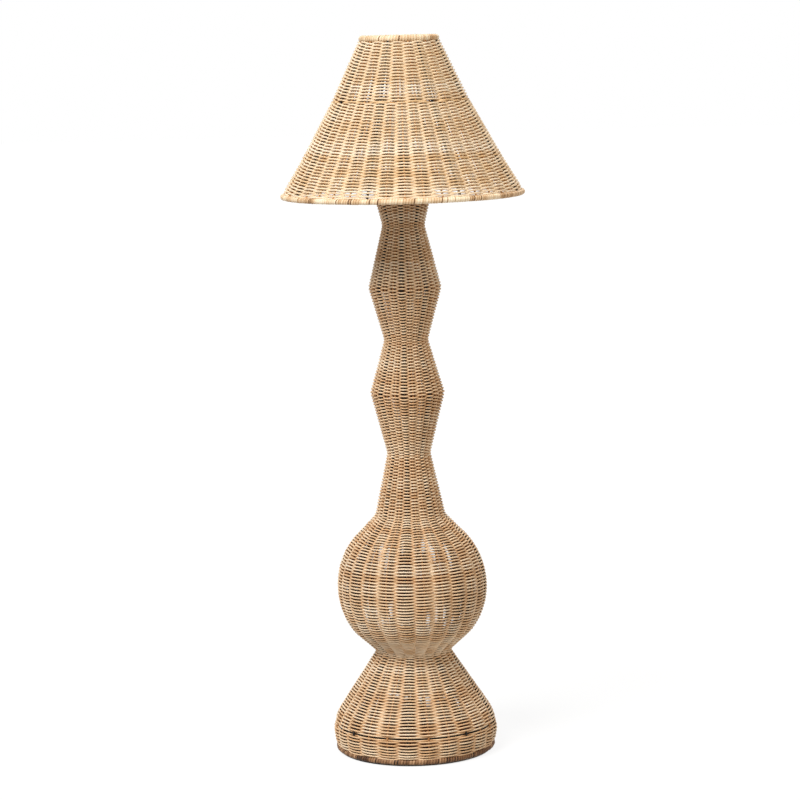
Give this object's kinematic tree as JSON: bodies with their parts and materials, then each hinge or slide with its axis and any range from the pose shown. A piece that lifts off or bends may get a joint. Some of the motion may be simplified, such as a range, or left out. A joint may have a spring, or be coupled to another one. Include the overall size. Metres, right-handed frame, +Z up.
{
  "type": "woven floor lamp",
  "caption": "Floor lamp woven from round cane: bell base, ball and stacked diamond column on a wire cage, under a flared woven shade.",
  "frame": {"origin": "on the floor under the lamp's axis", "axes": "+Z up along the lamp's axis; -Y is the front, the side that the picture shows"},
  "size_m": [0.4996, 0.4996, 1.4855],
  "materials": {
    "body_cane": "natural round cane, satin",
    "shade_cane": "pale natural round cane, satin",
    "binding_cane": "split cane peel, slightly glossy",
    "black_steel": "black powder coat",
    "cast_weight": "dark paint over a rough casting",
    "foot_rubber": "matt",
    "zinc_steel": "zinc plated",
    "black_plastic": "moulded, satin",
    "holder_ceramic": "unglazed steatite",
    "contact_brass": "plain",
    "cap_metal": "bright",
    "bulb_white": "satin white",
    "opal_glass": "opal"
  },
  "bodies": {
    "stand": {"base_skirt_weave": "body_cane", "base_weave": "body_cane", "ball_weave": "body_cane", "neck_weave": "body_cane", "lower_diamond_weave": "body_cane", "upper_diamond_weave": "body_cane", "collar_weave": "body_cane", "base_binding": "binding_cane", "collar_binding": "binding_cane", "body_frame": "black_steel", "base_weight_1": "cast_weight", "base_weight_2": "cast_weight", "base_weight_3": "cast_weight", "base_weight_4": "cast_weight", "foot_1": "foot_rubber", "foot_2": "foot_rubber", "foot_3": "foot_rubber", "foot_4": "foot_rubber", "weight_bolt_1": "zinc_steel", "weight_bolt_2": "zinc_steel", "weight_bolt_3": "zinc_steel", "weight_bolt_4": "zinc_steel", "lower_nipple": "zinc_steel", "lower_washer": "zinc_steel", "lower_nut": "zinc_steel", "centre_tube": "black_steel", "lead_outlet": "black_plastic", "upper_nipple": "zinc_steel", "top_plate": "black_steel", "upper_washer": "zinc_steel", "upper_nut": "zinc_steel", "holder_cap": "black_plastic", "holder_skirt": "black_plastic", "holder_insert": "holder_ceramic", "screw_shell": "contact_brass", "contact_tongue": "contact_brass"},
    "lower_ring": {"lower_shade_ring": "black_plastic"},
    "upper_ring": {"upper_shade_ring": "black_plastic"},
    "bulb_base": {"bulb_tip": "cap_metal", "bulb_cap": "cap_metal"},
    "bulb_head": {"bulb_housing": "bulb_white", "bulb_globe": "opal_glass"},
    "shade": {"shade_weave": "shade_cane", "shade_frame": "black_steel", "shade_foot_binding": "binding_cane", "shade_top_binding": "binding_cane", "shade_spider": "black_steel"}
  },
  "joints": [
    {"name": "shade_swivel", "type": "hinge", "parent": "stand", "child": "shade", "pos_m": [0, 0, 1.25], "axis": [0, 0, 1], "continuous": true},
    {"name": "lower_ring_turn", "type": "hinge", "parent": "stand", "child": "lower_ring", "pos_m": [0, 0, 1.24], "axis": [0, 0, 1], "range_deg": [-720, 0]},
    {"name": "upper_ring_turn", "type": "hinge", "parent": "stand", "child": "upper_ring", "pos_m": [0, 0, 1.25], "axis": [0, 0, 1], "range_deg": [0, 720]},
    {"name": "bulb_lift", "type": "slide", "parent": "stand", "child": "bulb_base", "axis": [0, 0, 1], "range_m": [0, 0.0182]},
    {"name": "bulb_turn", "type": "hinge", "parent": "bulb_base", "child": "bulb_head", "pos_m": [0, 0, 1.26], "axis": [0, 0, 1], "range_deg": [0, 1800]}
  ],
  "couplings": [
    {"joint": "bulb_lift", "follows": "bulb_turn", "m_per_rad": 0.00057756}
  ]
}
